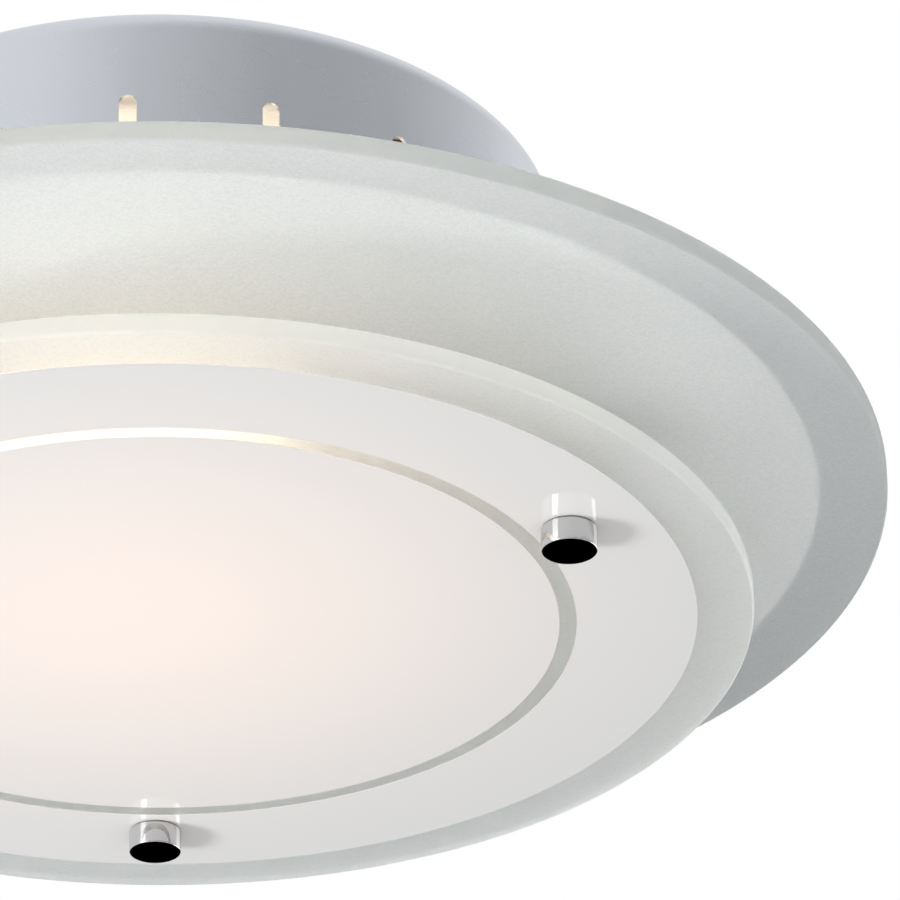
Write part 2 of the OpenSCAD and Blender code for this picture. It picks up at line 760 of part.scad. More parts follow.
// Leads: a tube swept along a smooth curve through the points of its route
function unit(v) = v / norm(v);
function route_point(p, i) = p[max(0, min(i, len(p) - 1))];
function on_curve(a, b, c, d, t) =
    (2 * b + (c - a) * t + (2 * a - 5 * b + 4 * c - d) * t * t + (3 * b - a - 3 * c + d) * t * t * t) / 2;
function smooth_route(p) = [
    for (i = [0:len(p) - 2], k = [0:lead_steps - 1])
        on_curve(route_point(p, i - 1), p[i], p[i + 1], route_point(p, i + 2), k / lead_steps),
    p[len(p) - 1],
];
function heading(p, i) = unit(route_point(p, i + 1) - route_point(p, i - 1));
function across(n, t) = unit(n - (n * t) * t);
function carried(p, n, i = 0) =
    let (m = across(n, heading(p, i)))
    i == len(p) - 1 ? [m] : concat([m], carried(p, m, i + 1));

module lead(route, first_side) {
    p = smooth_route(route);
    side = carried(p, first_side);
    rings = len(p);
    points = [
        for (i = [0:rings - 1], k = [0:lead_sides - 1])
            let (a = 360 * k / lead_sides, b = cross(heading(p, i), side[i]))
            p[i] + lead_r * (cos(a) * side[i] + sin(a) * b),
    ];
    faces = [
        [for (k = [0:lead_sides - 1]) k],
        [for (k = [lead_sides - 1:-1:0]) (rings - 1) * lead_sides + k],
        for (i = [0:rings - 2], k = [0:lead_sides - 1], half = [0, 1])
            let (n = (k + 1) % lead_sides, here = i * lead_sides, next = here + lead_sides)
            half == 0 ? [here + k, next + k, next + n] : [here + k, next + n, here + n],
    ];
    polyhedron(points, faces, convexity = 6);
}

module live_leads() {
    color([0.45, 0.25, 0.12]) for (route = live_routes) lead(route, [1, 0, 0]);
}

module neutral_leads() {
    color([0.2, 0.35, 0.7]) for (route = neutral_routes) lead(route, [1, 0, 0]);
}

module earth_lead() {
    color([0.45, 0.65, 0.2]) lead(earth_route, [0, 0, 1]);
}

ceiling_pan();
flange_ring();
cable_grommet();
pan_studs();
upper_glass_bushes();
upper_glass();
upper_enamel();
upper_glass_washers();
spacer_sleeves();
lower_glass_bushes();
lower_glass();
enamel_middle();
enamel_band();
cap_washer(0);  // cap_washer_1
cap_washer(1);  // cap_washer_2
cap_washer(2);  // cap_washer_3
cap_nut(0);  // cap_nut_1
cap_nut(1);  // cap_nut_2
cap_nut(2);  // cap_nut_3
lamp_bracket(0);  // lamp_bracket_1
lamp_bracket(1);  // lamp_bracket_2
bracket_rivets();
holder_screws();
lampholder(0);  // lampholder_1
lampholder(1);  // lampholder_2
screw_shell(0);  // screw_shell_1
screw_shell(1);  // screw_shell_2
centre_contact(0);  // centre_contact_1
centre_contact(1);  // centre_contact_2
bulb(0);  // bulb_1
bulb(1);  // bulb_2
bulb_cap(0);  // bulb_cap_1
bulb_cap(1);  // bulb_cap_2
bulb_insulator(0);  // bulb_insulator_1
bulb_insulator(1);  // bulb_insulator_2
bulb_contact(0);  // bulb_contact_1
bulb_contact(1);  // bulb_contact_2
terminal_block();
terminal_tubes();
terminal_screws();
terminal_rivet();
earth_screw();
earth_tag();
live_leads();
neutral_leads();
earth_lead();
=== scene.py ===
"""A lit ceiling light: two satin glass discs under a round pan, two lamps inside."""

import math

import bmesh
import bpy
from mathutils import Matrix, Vector


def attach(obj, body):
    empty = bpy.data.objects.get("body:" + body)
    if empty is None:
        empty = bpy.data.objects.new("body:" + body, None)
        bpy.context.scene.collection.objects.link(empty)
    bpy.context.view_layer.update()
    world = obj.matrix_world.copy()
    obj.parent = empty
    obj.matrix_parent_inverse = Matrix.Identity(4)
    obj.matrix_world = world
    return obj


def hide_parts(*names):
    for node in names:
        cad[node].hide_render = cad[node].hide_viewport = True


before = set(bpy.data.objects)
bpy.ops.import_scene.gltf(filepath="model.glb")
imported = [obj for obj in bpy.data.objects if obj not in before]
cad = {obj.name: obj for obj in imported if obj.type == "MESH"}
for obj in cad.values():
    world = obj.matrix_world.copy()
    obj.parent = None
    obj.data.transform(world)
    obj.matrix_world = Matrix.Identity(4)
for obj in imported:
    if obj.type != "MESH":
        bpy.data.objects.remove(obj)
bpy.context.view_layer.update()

# Ceiling pan and flange ring. One sheet of steel, deep drawn and pierced with a row of
# slots, and a rolled angle ring spot-welded inside its mouth. Both are sprayed with satin
# silver paint that carries a fine orange peel.
PAN_SILVER = (0.74, 0.77, 0.82)
NOISE_FROM, NOISE_TO = 0.3, 0.7          # the range that most of the noise lies in
TOUCHING = 1e-6
SHARP_CORNER = 30                        # degrees, from which an edge shows as sharp


def finish(name, colour, roughness, metallic=0.0):
    """A material with one shader, which the sections below refine."""
    made = bpy.data.materials.new(name)
    made.use_nodes = True
    shader = made.node_tree.nodes["Principled BSDF"]
    shader.inputs["Base Color"].default_value = (*colour, 1)
    shader.inputs["Roughness"].default_value = roughness
    shader.inputs["Metallic"].default_value = metallic
    return made, made.node_tree, shader


def glow(shader, colour, light):
    """Lets a surface shine a little by itself."""
    shader.inputs["Emission Color"].default_value = (*colour, 1)
    shader.inputs["Emission Strength"].default_value = light


def speckle(tree, feature_mm, detail=2.0):
    """Noise fixed to the piece, whose lumps are about feature_mm across."""
    place = tree.nodes.new("ShaderNodeTexCoord")
    noise = tree.nodes.new("ShaderNodeTexNoise")
    noise.inputs["Scale"].default_value = 1000 / feature_mm
    noise.inputs["Detail"].default_value = detail
    tree.links.new(place.outputs["Object"], noise.inputs["Vector"])
    return noise.outputs["Fac"]


def relief(tree, shader, height, depth_mm):
    """Bumps of depth_mm under the shader."""
    bump = tree.nodes.new("ShaderNodeBump")
    bump.inputs["Distance"].default_value = depth_mm / 1000
    tree.links.new(height, bump.inputs["Height"])
    tree.links.new(bump.outputs["Normal"], shader.inputs["Normal"])


def vary(tree, value, socket, low, high):
    """Lets a socket run from low to high with a noise value."""
    spread = tree.nodes.new("ShaderNodeMapRange")
    spread.inputs["From Min"].default_value = NOISE_FROM
    spread.inputs["From Max"].default_value = NOISE_TO
    spread.inputs["To Min"].default_value = low
    spread.inputs["To Max"].default_value = high
    tree.links.new(value, spread.inputs["Value"])
    tree.links.new(spread.outputs["Result"], socket)


def tint(tree, value, socket, low, high):
    """Lets a colour run from low to high with a noise value."""
    ramp = tree.nodes.new("ShaderNodeValToRGB")
    stops = ramp.color_ramp.elements
    stops[0].position, stops[0].color = NOISE_FROM, (*low, 1)
    stops[1].position, stops[1].color = NOISE_TO, (*high, 1)
    tree.links.new(value, ramp.inputs["Fac"])
    tree.links.new(ramp.outputs["Color"], socket)


def dress(names, made):
    """Gives frame nodes a material, and shades their curved faces smoothly."""
    for name in names:
        node = cad[name]
        node.data.materials.clear()
        node.data.materials.append(made)
        for face in node.data.polygons:
            face.material_index = 0
            face.use_smooth = True
        weld = node.modifiers.new("weld", "WELD")
        weld.merge_threshold = TOUCHING
        split = node.modifiers.new("edges", "EDGE_SPLIT")
        split.split_angle = math.radians(SHARP_CORNER)


pan_paint, tree, shader = finish("satin silver paint", PAN_SILVER, roughness=0.27, metallic=0.9)
relief(tree, shader, speckle(tree, feature_mm=0.9), depth_mm=0.0012)
vary(tree, speckle(tree, feature_mm=20), shader.inputs["Roughness"], low=0.268, high=0.282)
dress(["ceiling_pan", "flange_ring"], pan_paint)

# Grommet. Black rubber ring, moulded with a groove and pressed into the hole in the
# middle of the pan, where it keeps the supply cable off the edge of the sheet.
rubber, tree, shader = finish("black rubber", (0.02, 0.02, 0.021), roughness=0.7)
relief(tree, shader, speckle(tree, feature_mm=0.4), depth_mm=0.01)
dress(["cable_grommet"], rubber)

# Brackets, studs, screws and rivets. Bent and turned steel with bright zinc: the studs
# are pressed into the flange ring, and the lamp brackets riveted to the pan.
ZINC_BLUISH, ZINC_YELLOWISH = (0.55, 0.56, 0.60), (0.66, 0.67, 0.66)

zinc, tree, shader = finish("bright zinc", (0.60, 0.61, 0.63), roughness=0.32, metallic=1.0)
vary(tree, speckle(tree, feature_mm=1.5, detail=4), shader.inputs["Roughness"],
     low=0.24, high=0.42)
tint(tree, speckle(tree, feature_mm=6, detail=3), shader.inputs["Base Color"],
     ZINC_BLUISH, ZINC_YELLOWISH)
dress(["pan_studs", "lamp_bracket_1", "lamp_bracket_2", "bracket_rivets", "holder_screws",
       "terminal_screws", "terminal_rivet", "earth_tag"], zinc)

# Lampholders. Glazed porcelain, screwed to the brackets, with drawn brass screw shells
# and folded contact strips. The other small brass parts have the same finish.
GLAZE_DULL, GLAZE_BRIGHT = (0.84, 0.83, 0.785), (0.88, 0.87, 0.84)

porcelain, tree, shader = finish("glazed porcelain", (0.86, 0.85, 0.81), roughness=0.14)
relief(tree, shader, speckle(tree, feature_mm=4), depth_mm=0.006)
tint(tree, speckle(tree, feature_mm=9, detail=3), shader.inputs["Base Color"],
     GLAZE_DULL, GLAZE_BRIGHT)
dress(["lampholder_1", "lampholder_2"], porcelain)
brass, tree, shader = finish("drawn brass", (0.78, 0.58, 0.26), roughness=0.25, metallic=1.0)
vary(tree, speckle(tree, feature_mm=1.2, detail=4), shader.inputs["Roughness"],
     low=0.18, high=0.38)
dress(["screw_shell_1", "screw_shell_2", "centre_contact_1", "centre_contact_2",
       "bulb_contact_1", "bulb_contact_2", "terminal_tubes", "earth_screw"], brass)

# Terminal block and leads. Moulded white polyamide, riveted to the pan. From it copper
# wire in three colours of insulation runs to the holders and to the earth screw.
LEADS = (("live_leads", (0.17, 0.07, 0.03)), ("neutral_leads", (0.03, 0.12, 0.42)),
         ("earth_lead", (0.10, 0.32, 0.05)))

polyamide, tree, shader = finish("white polyamide", (0.80, 0.80, 0.77), roughness=0.38)
relief(tree, shader, speckle(tree, feature_mm=0.6), depth_mm=0.006)
dress(["terminal_block"], polyamide)
for name, colour in LEADS:
    insulation, tree, shader = finish(name + " insulation", colour, roughness=0.42)
    relief(tree, shader, speckle(tree, feature_mm=1.5), depth_mm=0.004)
    dress([name], insulation)

# Lamps. Blown opal glass bulbs, lit, with rolled aluminium screw caps and black glass
# below them. A lamp's light passes its bulb, so the bulbs cast no shadow.
LAMP_WARM, LAMP_LIGHT = (1.0, 0.84, 0.62), 0.95
FILAMENT_WARM, FILAMENT_WATTS, FILAMENT_R = (1.0, 0.72, 0.45), 0.13, 0.022
FILAMENT_X, FILAMENT_Y, FILAMENT_Z = 0.02, -0.034, -0.05

opal, tree, shader = finish("lit opal glass", (0.9, 0.88, 0.84), roughness=0.35)
glow(shader, LAMP_WARM, LAMP_LIGHT)
relief(tree, shader, speckle(tree, feature_mm=8, detail=1), depth_mm=0.01)
dress(["bulb_1", "bulb_2"], opal)
for i, side in ((1, 1), (2, -1)):
    cad[f"bulb_{i}"].visible_shadow = False
    filament = bpy.data.lights.new(f"filament_{i}", "POINT")
    filament.color, filament.energy = FILAMENT_WARM, FILAMENT_WATTS
    filament.shadow_soft_size = FILAMENT_R
    lit = bpy.data.objects.new(f"filament_{i}", filament)
    lit.location = side * FILAMENT_X, side * FILAMENT_Y, FILAMENT_Z
    lit.visible_camera = lit.visible_glossy = lit.visible_transmission = False
    bpy.context.collection.objects.link(lit)
aluminium, tree, shader = finish("rolled aluminium", (0.76, 0.76, 0.77), roughness=0.28,
                                 metallic=1.0)
vary(tree, speckle(tree, feature_mm=1.0, detail=3), shader.inputs["Roughness"],
     low=0.2, high=0.36)
dress(["bulb_cap_1", "bulb_cap_2"], aluminium)
black_glass, tree, shader = finish("black glass", (0.01, 0.01, 0.012), roughness=0.08)
relief(tree, shader, speckle(tree, feature_mm=2), depth_mm=0.01)
dress(["bulb_insulator_1", "bulb_insulator_2"], black_glass)

# Glass discs. Plate glass 6 mm thick, cut round, its edges ground to a small bevel, and
# both faces etched to an even satin, which looks faintly green where it is bare. Lamp light
# that goes round inside the lower disc and leaves it by its faces and its edge is painted
# on: that disc shines faintly by itself, and its edge shines more over a darker colour.
GLASS_T, BEVEL, HOLE_R = 0.006, 0.001, 0.004
STUD_CIRCLE = 0.124
STUD_ANGLES = (-29.4, 90.6, 210.6)
UPPER_R, OPENING_R, UPPER_LOW = 0.2, 0.097, -0.0995
LOWER_R, LOWER_LOW = 0.162, -0.1325
RIM_STEPS, HOLE_STEPS = 288, 32
BEVEL_FROM = 60                          # least corner, in degrees, that is ground off
FLAT_FACE = 0.95                         # upright part of a normal, above which a face is flat
GLASS_IOR, GLASS_CLEAR, EDGE_CLEAR = 1.5, 0.8, 0.95
GLASS_GREEN = (0.972, 0.99, 0.984)
GLASS_DULL, GLASS_BRIGHT = (0.84, 0.875, 0.87), (1.0, 1.0, 1.0)
# The second edge colour is the lower disc's: darker, under a painted glow, so painted shade and
# painted light together even out that edge.
EDGE_WHITE, EDGE_DARKER_UNDER_GLOW = (0.92, 0.955, 0.945), (0.7, 0.73, 0.72)
# Painted glow: how strongly the lower disc's satin and edge shine by themselves, in place of lamp
# light inside that disc.
LAMP_GLOW_PAINTED_IN_GLASS, LAMP_GLOW_PAINTED_IN_GLASS_LIGHT, LAMP_GLOW_PAINTED_IN_EDGE_LIGHT = (1.0, 0.965, 0.88), 0.03, 0.24


def stud_places():
    """Where the three studs stand, as (x, y)."""
    for angle in STUD_ANGLES:
        yield (STUD_CIRCLE * math.cos(math.radians(angle)),
               STUD_CIRCLE * math.sin(math.radians(angle)))


def stud_rims(radius):
    """The rims of three holes round the studs."""
    return [(x, y, radius, HOLE_STEPS) for x, y in stud_places()]


def piece(name, bm, smooth_under=40):
    """Turns a finished bmesh into an object; edges flatter than the angle shade smoothly."""
    mesh = bpy.data.meshes.new(name)
    for face in bm.faces:
        face.smooth = True
    for edge in bm.edges:
        if len(edge.link_faces) == 2:
            edge.smooth = edge.calc_face_angle(0) < math.radians(smooth_under)
    bm.to_mesh(mesh)
    bm.free()
    made = bpy.data.objects.new(name, mesh)
    bpy.context.collection.objects.link(made)
    return made


def plate(name, rims, low, thickness, bevel=0.0):
    """A flat plate with round rims, each (x, y, radius, steps), its lower face at low."""
    bm = bmesh.new()
    for x, y, radius, steps in rims:
        bmesh.ops.create_circle(bm, radius=radius, segments=steps,
                                matrix=Matrix.Translation((x, y, low)))
    bmesh.ops.triangle_fill(bm, edges=bm.edges[:], use_beauty=True, normal=(0, 0, -1))
    sheet = bmesh.ops.extrude_face_region(bm, geom=bm.faces[:], use_keep_orig=True)
    raised = [v for v in sheet["geom"] if isinstance(v, bmesh.types.BMVert)]
    bmesh.ops.translate(bm, verts=raised, vec=(0, 0, thickness))
    bmesh.ops.recalc_face_normals(bm, faces=bm.faces[:])
    if bevel:
        corners = [e for e in bm.edges if len(e.link_faces) == 2
                   and e.calc_face_angle(0) > math.radians(BEVEL_FROM)
                   and abs(e.verts[0].co.z - e.verts[1].co.z) < TOUCHING]
        bmesh.ops.bevel(bm, geom=corners, offset=bevel, offset_type="OFFSET", segments=3,
                        profile=0.5, affect="EDGES", material=-1)
    return piece(name, bm, smooth_under=30)


def place(made, body, material, slot, replaced):
    """Fixes a piece with its material to a body, instead of the frame's own node."""
    made.data.materials.append(material)
    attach(made, body)
    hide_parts(replaced)


def grind(made, radius, material):
    """Gives the wall and the bevels of a disc's outer rim the finish of a ground edge."""
    made.data.materials.append(material)
    for face in made.data.polygons:
        if abs(face.normal.z) < FLAT_FACE and face.center.xy.length > radius - 2 * BEVEL:
            face.material_index = 1


def copy_for_painted_glow(material, name):
    """A copy of a glass finish to paint the lamps' glow on, and its shader."""
    made = material.copy()
    made.name = name
    return made, made.node_tree.nodes["Principled BSDF"]


satin, tree, shader = finish("satin glass", GLASS_GREEN, roughness=0.42)
shader.inputs["Transmission Weight"].default_value = GLASS_CLEAR
shader.inputs["IOR"].default_value = GLASS_IOR
relief(tree, shader, speckle(tree, feature_mm=0.35, detail=3), depth_mm=0.02)
tint(tree, speckle(tree, feature_mm=0.8, detail=1), shader.inputs["Base Color"],
     GLASS_DULL, GLASS_BRIGHT)
# Painted glow of the lamps on the lower disc's satin.
painted_glow_satin, shader = copy_for_painted_glow(satin, "satin glass with painted lamp glow")
glow(shader, LAMP_GLOW_PAINTED_IN_GLASS, LAMP_GLOW_PAINTED_IN_GLASS_LIGHT)
edge, tree, shader = finish("ground glass edge", EDGE_WHITE, roughness=0.6)
shader.inputs["Transmission Weight"].default_value = EDGE_CLEAR
shader.inputs["IOR"].default_value = GLASS_IOR
relief(tree, shader, speckle(tree, feature_mm=0.5, detail=3), depth_mm=0.03)
# Painted glow and painted shade on the lower disc's edge: a darker colour that shines by itself.
painted_glow_edge, shader = copy_for_painted_glow(edge, "ground glass edge with painted lamp glow")
shader.inputs["Base Color"].default_value = (*EDGE_DARKER_UNDER_GLOW, 1)
glow(shader, EDGE_WHITE, LAMP_GLOW_PAINTED_IN_EDGE_LIGHT)

upper_glass = plate("upper_glass_disc",
                    [(0, 0, UPPER_R, RIM_STEPS), (0, 0, OPENING_R, RIM_STEPS // 2)]
                    + stud_rims(HOLE_R), UPPER_LOW, GLASS_T, BEVEL)
place(upper_glass, "light_base", satin, "satin_glass", "upper_glass")
grind(upper_glass, UPPER_R, edge)
lower_glass = plate("lower_glass_disc", [(0, 0, LOWER_R, RIM_STEPS)] + stud_rims(HOLE_R),
                    LOWER_LOW, GLASS_T, BEVEL)
place(lower_glass, "lower_glass", painted_glow_satin, "satin_glass", "lower_glass")
grind(lower_glass, LOWER_R, painted_glow_edge)

# Enamel. White ceramic ink, screen printed and fired: on the back of the upper disc it
# hides the pan, and on the lower disc's face it is a glossy middle and an outer band. The
# lamps' light through the lower print is painted on it as a warm spot of emission, and the
# upper print shines faintly by itself, a painted glow that lightens the upper disc from
# below.
ENAMEL_T, ENAMEL_GAP = 0.0001, 0.00002
MIDDLE_R, BAND_IN, BAND_OUT, UPPER_PRINT_R = 0.1089, 0.1136, 0.1466, 0.181
PAD_CLEAR_R = 0.0072
PRINT_LOW = LOWER_LOW - ENAMEL_GAP - ENAMEL_T
ENAMEL_WHITE, ENAMEL_IOR = (0.815, 0.812, 0.806), 1.55
# Painted glow: the upper print behind the glass shines a little by itself, which lightens the
# upper disc seen from below.
BACK_WHITE, BACK_PAINTED_GLOW_WARM, BACK_PAINTED_GLOW_LIGHT = (0.86, 0.87, 0.86), (1, 0.99, 0.97), 0.32
# Painted glow: a warm spot of emission on the lower print, strongest near its middle, for the
# lamps' light through it.
PAINTED_GLOW_WARM, PAINTED_GLOW_LIGHT = (1.0, 0.56, 0.32), 0.25
PAINTED_GLOW_CENTRE, PAINTED_GLOW_REACH = (-0.01, -0.01), 0.165

gloss_enamel, tree, shader = finish("glossy enamel", ENAMEL_WHITE, roughness=0.06)
shader.inputs["IOR"].default_value = ENAMEL_IOR
relief(tree, shader, speckle(tree, feature_mm=5, detail=1), depth_mm=0.0015)
# Painted glow of the lamps: emission that fades out from the middle of the lower print.
shader.inputs["Emission Color"].default_value = (*PAINTED_GLOW_WARM, 1)
spot = tree.nodes.new("ShaderNodeTexCoord")
reach = tree.nodes.new("ShaderNodeVectorMath")
reach.operation = "DISTANCE"
reach.inputs[1].default_value = (*PAINTED_GLOW_CENTRE, PRINT_LOW)
fade = tree.nodes.new("ShaderNodeMapRange")
fade.interpolation_type = "SMOOTHSTEP"
fade.inputs["From Min"].default_value = PAINTED_GLOW_REACH
fade.inputs["From Max"].default_value = 0
fade.inputs["To Max"].default_value = PAINTED_GLOW_LIGHT
tree.links.new(spot.outputs["Object"], reach.inputs[0])
tree.links.new(reach.outputs["Value"], fade.inputs["Value"])
tree.links.new(fade.outputs["Result"], shader.inputs["Emission Strength"])
back_enamel, tree, shader = finish("back enamel", BACK_WHITE, roughness=0.5)
# Painted glow on the upper print.
glow(shader, BACK_PAINTED_GLOW_WARM, BACK_PAINTED_GLOW_LIGHT)
relief(tree, shader, speckle(tree, feature_mm=1.2), depth_mm=0.004)

middle = plate("enamel_middle_print", [(0, 0, MIDDLE_R, RIM_STEPS)], PRINT_LOW, ENAMEL_T)
place(middle, "lower_glass", gloss_enamel, "enamel", "enamel_middle")
band = plate("enamel_band_print",
             [(0, 0, BAND_OUT, RIM_STEPS), (0, 0, BAND_IN, RIM_STEPS)] + stud_rims(HOLE_R),
             PRINT_LOW, ENAMEL_T)
place(band, "lower_glass", gloss_enamel, "enamel", "enamel_band")
backing = plate("upper_enamel_print",
                [(0, 0, UPPER_PRINT_R, RIM_STEPS),
                 (0, 0, OPENING_R + 2 * BEVEL, RIM_STEPS // 2)]
                + stud_rims(PAD_CLEAR_R), UPPER_LOW + GLASS_T + ENAMEL_GAP, ENAMEL_T)
place(backing, "light_base", back_enamel, "enamel", "upper_enamel")

# Silicone bushes and washers. Moulded rings, milky and matt, that line the stud holes
# and lie between metal and glass.
SILICONE_CLEAR = 0.3

silicone, tree, shader = finish("milky silicone", (0.75, 0.75, 0.73), roughness=0.5)
shader.inputs["Transmission Weight"].default_value = SILICONE_CLEAR
relief(tree, shader, speckle(tree, feature_mm=0.5), depth_mm=0.005)
dress(["upper_glass_bushes", "upper_glass_washers", "lower_glass_bushes"], silicone)

# Spacer sleeves. Chrome plated tubes, cut to length and slid over the studs, which hold
# the upper disc up and set the gap between the discs.
chrome, tree, shader = finish("polished chrome", (0.61, 0.615, 0.625), roughness=0.04,
                              metallic=1.0)
vary(tree, speckle(tree, feature_mm=3, detail=3), shader.inputs["Roughness"],
     low=0.02, high=0.06)
dress(["spacer_sleeves"], chrome)

# Cap nuts. Turned from bar, bevelled, polished and chrome plated; a blind M4 thread
# inside takes the stud, and a thin clear washer keeps each off the print.
CAP_R, CAP_H, CAP_BEVEL = 0.0075, 0.0065, 0.0003
CAP_SEAT = -0.13313                      # 0.01 mm clear of the washer
CAP_BORE_R, CAP_BORE = 0.00205, 0.004745
CAP_STEPS, CAP_BEVEL_STEPS = 96, 4
WASHER_CLEAR = 0.8


def turned(name, outline, x, y, steps):
    """A lathe piece about the upright axis through (x, y); outline is (radius, height)."""
    bm = bmesh.new()
    points = [bm.verts.new((x + r, y, z)) for r, z in outline]
    line = [bm.edges.new(pair) for pair in zip(points, points[1:])]
    bmesh.ops.spin(bm, geom=points + line, cent=(x, y, 0), axis=(0, 0, 1),
                   angle=math.tau, steps=steps, use_merge=True)
    bmesh.ops.remove_doubles(bm, verts=bm.verts[:], dist=1e-7)
    bmesh.ops.recalc_face_normals(bm, faces=bm.faces[:])
    return piece(name, bm)


cap_low = CAP_SEAT - CAP_H
bevel_angles = [k * math.pi / 2 / CAP_BEVEL_STEPS for k in range(CAP_BEVEL_STEPS + 1)]
cap_outline = ([(0, cap_low)]
               + [(CAP_R - CAP_BEVEL * (1 - math.sin(a)), cap_low + CAP_BEVEL * (1 - math.cos(a)))
                  for a in bevel_angles]
               + [(CAP_R, CAP_SEAT - CAP_BEVEL / 2), (CAP_R - CAP_BEVEL / 2, CAP_SEAT),
                  (CAP_BORE_R, CAP_SEAT), (CAP_BORE_R, CAP_SEAT - CAP_BORE),
                  (0, CAP_SEAT - CAP_BORE)])
for i, (x, y) in enumerate(stud_places(), 1):
    nut = turned(f"cap_nut_{i}_polished", cap_outline, x, y, CAP_STEPS)
    place(nut, f"cap_nut_{i}", chrome, "bright_chrome", f"cap_nut_{i}")
clear, tree, shader = finish("clear washer", (0.93, 0.93, 0.92), roughness=0.12)
shader.inputs["Transmission Weight"].default_value = WASHER_CLEAR
relief(tree, shader, speckle(tree, feature_mm=0.8), depth_mm=0.002)
dress(["cap_washer_1", "cap_washer_2", "cap_washer_3"], clear)

# Camera. It stands below the light on its -Y side and looks up at it through a long lens,
# turned a little so that the light's left and lower parts lie outside the frame.
LENS, SENSOR = 250.77, 36
CLIP_NEAR, CLIP_FAR = 0.05, 50
AIM = Vector((0, 0, LOWER_LOW))
ELEVATION, DISTANCE = math.radians(27.602), 1.714435
PAN, TILT, ROLL = math.radians(2.631), math.radians(-1.678), math.radians(-0.328)

away = Vector((0, math.cos(ELEVATION), math.sin(ELEVATION)))
across = Vector((1, 0, 0))
upright = across.cross(away)
turned_view = (Matrix.Rotation(ROLL, 3, "Z") @ Matrix.Rotation(PAN, 3, "Y")
               @ Matrix.Rotation(TILT, 3, "X") @ Matrix((across, upright, -away)))
camera_data = bpy.data.cameras.new("camera")
camera_data.lens, camera_data.sensor_width = LENS, SENSOR
camera_data.clip_start, camera_data.clip_end = CLIP_NEAR, CLIP_FAR
camera = bpy.data.objects.new("camera", camera_data)
camera.matrix_world = (Matrix.Translation(AIM - away * DISTANCE)
                       @ turned_view.transposed().to_4x4())
bpy.context.collection.objects.link(camera)
bpy.context.scene.camera = camera

# Studio floor and cards. Pale paper far below; a black card below and behind the light
# darkens its polished end faces, a bluish one above shows dimly through the glass, and two
# light panels draw bright lines on the walls of the cap nuts.
FLOOR_Z, FLOOR_HALF = -2.4, 14
PAPER_WHITE, PAPER_LIGHT = (0.86, 0.86, 0.86), 0.2
BLACK_CARD_AT, BLACK_CARD_SIZE = (0, 1.3, -0.82), (1.7, 1.1)
SHADE_CARD_AT, SHADE_CARD_SIZE = (0, 1.3, 0.68), (3.2, 1.6)
SHADE_BLUE, SHADE_LIGHT = (0.88, 0.94, 1.0), 0.33
PANEL_OUT, PANEL_Z, PANEL_HEIGHT = 1.6, -0.98, 1.2
PANELS = (("left", -148, 0.75, 5.5),     # side, azimuth in degrees, width, light
          ("right", 37, 0.9, 3.6))
CAPS_AT = (0, 0, -0.14)


def card(name, centre, facing, size, colour, light):
    """An upright card turned to face a point, seen by reflections only."""
    bm = bmesh.new()
    bmesh.ops.create_grid(bm, x_segments=1, y_segments=1, size=0.5)
    bmesh.ops.scale(bm, verts=bm.verts[:], vec=(*size, 1))
    turn = (Vector(facing) - Vector(centre)).to_track_quat("Z", "Y").to_matrix().to_4x4()
    bmesh.ops.transform(bm, verts=bm.verts[:], matrix=Matrix.Translation(centre) @ turn)
    made = piece(name, bm)
    paint, tree, shader = finish(name, (0, 0, 0), roughness=1.0)
    shader.inputs["Specular IOR Level"].default_value = 0
    glow(shader, colour, light)
    made.data.materials.append(paint)
    made.visible_camera = made.visible_shadow = made.visible_diffuse = False
    made.visible_transmission = False
    return made


bm = bmesh.new()
bmesh.ops.create_grid(bm, x_segments=1, y_segments=1, size=FLOOR_HALF,
                      matrix=Matrix.Translation((0, 0, FLOOR_Z)))
floor = piece("floor", bm)
paper, tree, shader = finish("pale paper", PAPER_WHITE, roughness=0.8)
glow(shader, (1, 1, 1), PAPER_LIGHT)
floor.data.materials.append(paper)
floor.visible_diffuse = floor.visible_glossy = floor.visible_transmission = False
card("black card", BLACK_CARD_AT, CAPS_AT, BLACK_CARD_SIZE, (0, 0, 0), light=0)
shade_card = card("shade card", SHADE_CARD_AT, (0, 0, 0), SHADE_CARD_SIZE, SHADE_BLUE,
                  SHADE_LIGHT)
shade_card.visible_glossy = False
shade_card.visible_transmission = True
for side, azimuth, width, light in PANELS:
    a = math.radians(azimuth)
    card(f"{side} light panel", (PANEL_OUT * math.cos(a), PANEL_OUT * math.sin(a), PANEL_Z),
         CAPS_AT, (width, PANEL_HEIGHT), (1, 1, 1), light)

# Studio lights. One for the glass discs alone from the camera's side, one from the left
# that throws the cap nuts' shadows, and the warm glow of the lamps between the discs.
KEY_AT, KEY_AIM, KEY_SIZE, KEY_WATTS = (-0.02, -0.54, -0.34), (0, -0.05, -0.1), 0.3, 1.9
SIDE_AT, SIDE_AIM, SIDE_SIZE, SIDE_WATTS = (-1.15, -0.36, -0.9), (0, 0, -0.13), 0.35, 12
LAMPS_AT, LAMPS_AIM, LAMPS_SIZE, LAMPS_WATTS = ((-0.02, -0.055, -0.0835),
                                                (-0.02, -0.055, -0.1), 0.1, 0.1)
LAMPS_WARM = (1.0, 0.78, 0.56)


def soft_light(name, spot, aim, size, watts):
    """A flat light turned to a point, unseen by the camera and by reflections."""
    data = bpy.data.lights.new(name, "AREA")
    data.size, data.energy = size, watts
    made = bpy.data.objects.new(name, data)
    made.location = spot
    made.rotation_euler = (Vector(aim) - Vector(spot)).to_track_quat("-Z", "Y").to_euler()
    made.visible_camera = made.visible_glossy = False
    bpy.context.collection.objects.link(made)
    return made


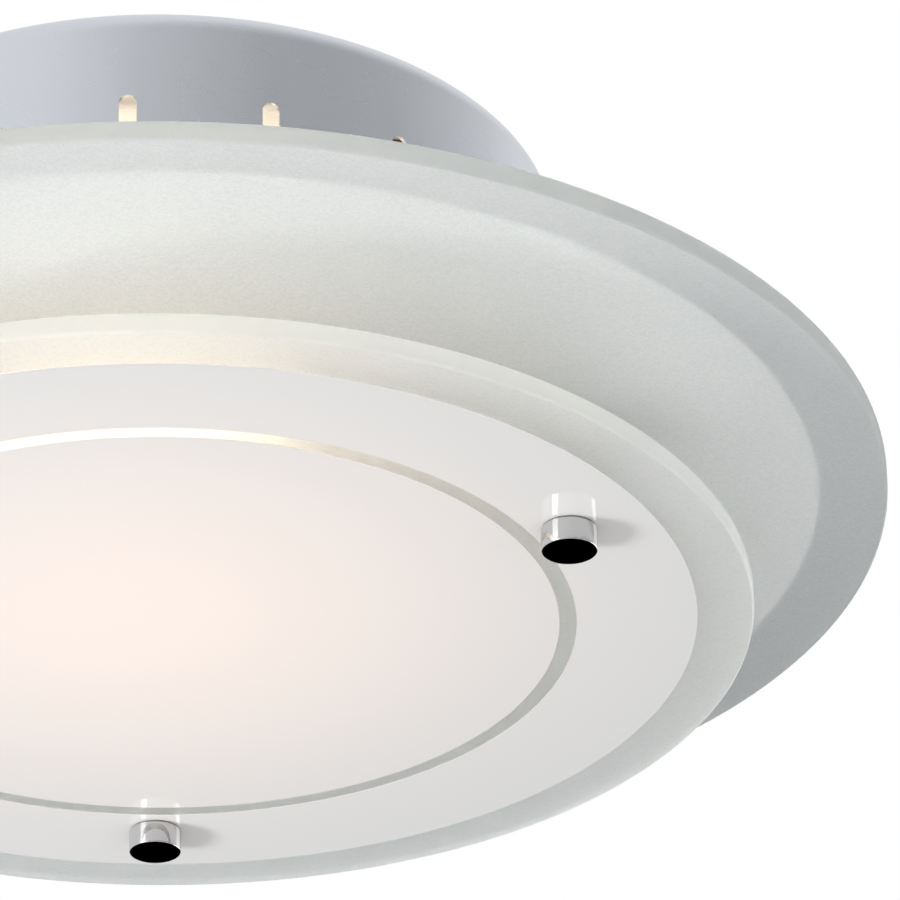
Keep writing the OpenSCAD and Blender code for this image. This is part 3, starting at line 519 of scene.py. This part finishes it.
glass_only = bpy.data.collections.new("glass")
for disc in (upper_glass, lower_glass):
    glass_only.objects.link(disc)
key = soft_light("glass light", KEY_AT, KEY_AIM, KEY_SIZE, KEY_WATTS)
soft_light("side light", SIDE_AT, SIDE_AIM, SIDE_SIZE, SIDE_WATTS)
lamps = soft_light("lamp glow", LAMPS_AT, LAMPS_AIM, LAMPS_SIZE, LAMPS_WATTS)
lamps.data.shape, lamps.data.color = "DISK", LAMPS_WARM
for light in (key, lamps):
    light.light_linking.receiver_collection = glass_only

# White walls all round. The camera sees them plain white, and polished pieces see them
# brighter on one side. Less of their light comes from above the horizon than from below,
# and least through the glass.
HORIZON_FROM, HORIZON_TO = -0.1, 0.2
WALLS_MEAN, WALLS_SWING, WALLS_TOWARDS, WALLS_MOST = 0.94, 0.65, 135, 0.85
BELOW_MEAN, BELOW_SWING, BELOW_TOWARDS = 0.76, 0.5, -90
ABOVE, ABOVE_THROUGH_GLASS = (0.55, 0.55, 0.55), (0.19, 0.21, 0.24)

world = bpy.data.worlds.new("studio")
bpy.context.scene.world = world
world.use_nodes = True
tree = world.node_tree
tree.nodes.clear()
way = tree.nodes.new("ShaderNodeTexCoord").outputs["Generated"]


def slope(mean, swing, azimuth):
    """Light that rises by swing towards an azimuth, in degrees from +X."""
    a = math.radians(azimuth)
    dot = tree.nodes.new("ShaderNodeVectorMath")
    dot.operation = "DOT_PRODUCT"
    dot.inputs[1].default_value = (swing * math.cos(a), swing * math.sin(a), 0)
    total = tree.nodes.new("ShaderNodeMath")
    total.inputs[1].default_value = mean
    tree.links.new(way, dot.inputs[0])
    tree.links.new(dot.outputs["Value"], total.inputs[0])
    return total.outputs["Value"]


def pick(which, light, other):
    """One light, or the other where which is 1."""
    mixed = tree.nodes.new("ShaderNodeMix")
    mixed.data_type = "VECTOR"
    for name, value in (("Factor", which), ("A", light), ("B", other)):
        if isinstance(value, tuple):
            mixed.inputs[name].default_value = value
        else:
            tree.links.new(value, mixed.inputs[name])
    return mixed.outputs["Result"]


heights = tree.nodes.new("ShaderNodeSeparateXYZ")
tree.links.new(way, heights.inputs["Vector"])
above = tree.nodes.new("ShaderNodeMapRange")
above.interpolation_type = "SMOOTHSTEP"
above.inputs["From Min"].default_value = HORIZON_FROM
above.inputs["From Max"].default_value = HORIZON_TO
tree.links.new(heights.outputs["Z"], above.inputs["Value"])
walls = tree.nodes.new("ShaderNodeMath")
walls.operation = "MINIMUM"
walls.inputs[1].default_value = WALLS_MOST
tree.links.new(slope(WALLS_MEAN, WALLS_SWING, WALLS_TOWARDS), walls.inputs[0])
ray = tree.nodes.new("ShaderNodeLightPath").outputs
soft = pick(above.outputs["Result"], slope(BELOW_MEAN, BELOW_SWING, BELOW_TOWARDS),
            pick(ray["Is Transmission Ray"], ABOVE, ABOVE_THROUGH_GLASS))
unseen = pick(ray["Is Glossy Ray"], soft, walls.outputs["Value"])
around = tree.nodes.new("ShaderNodeBackground")
tree.links.new(pick(ray["Is Camera Ray"], unseen, (1, 1, 1)), around.inputs["Color"])
out = tree.nodes.new("ShaderNodeOutputWorld")
tree.links.new(around.outputs["Background"], out.inputs["Surface"])

bpy.context.scene.view_settings.view_transform = "Standard"
cycles = bpy.context.scene.cycles
cycles.max_bounces, cycles.transmission_bounces = 30, 24
cycles.glossy_bounces, cycles.diffuse_bounces = 16, 8
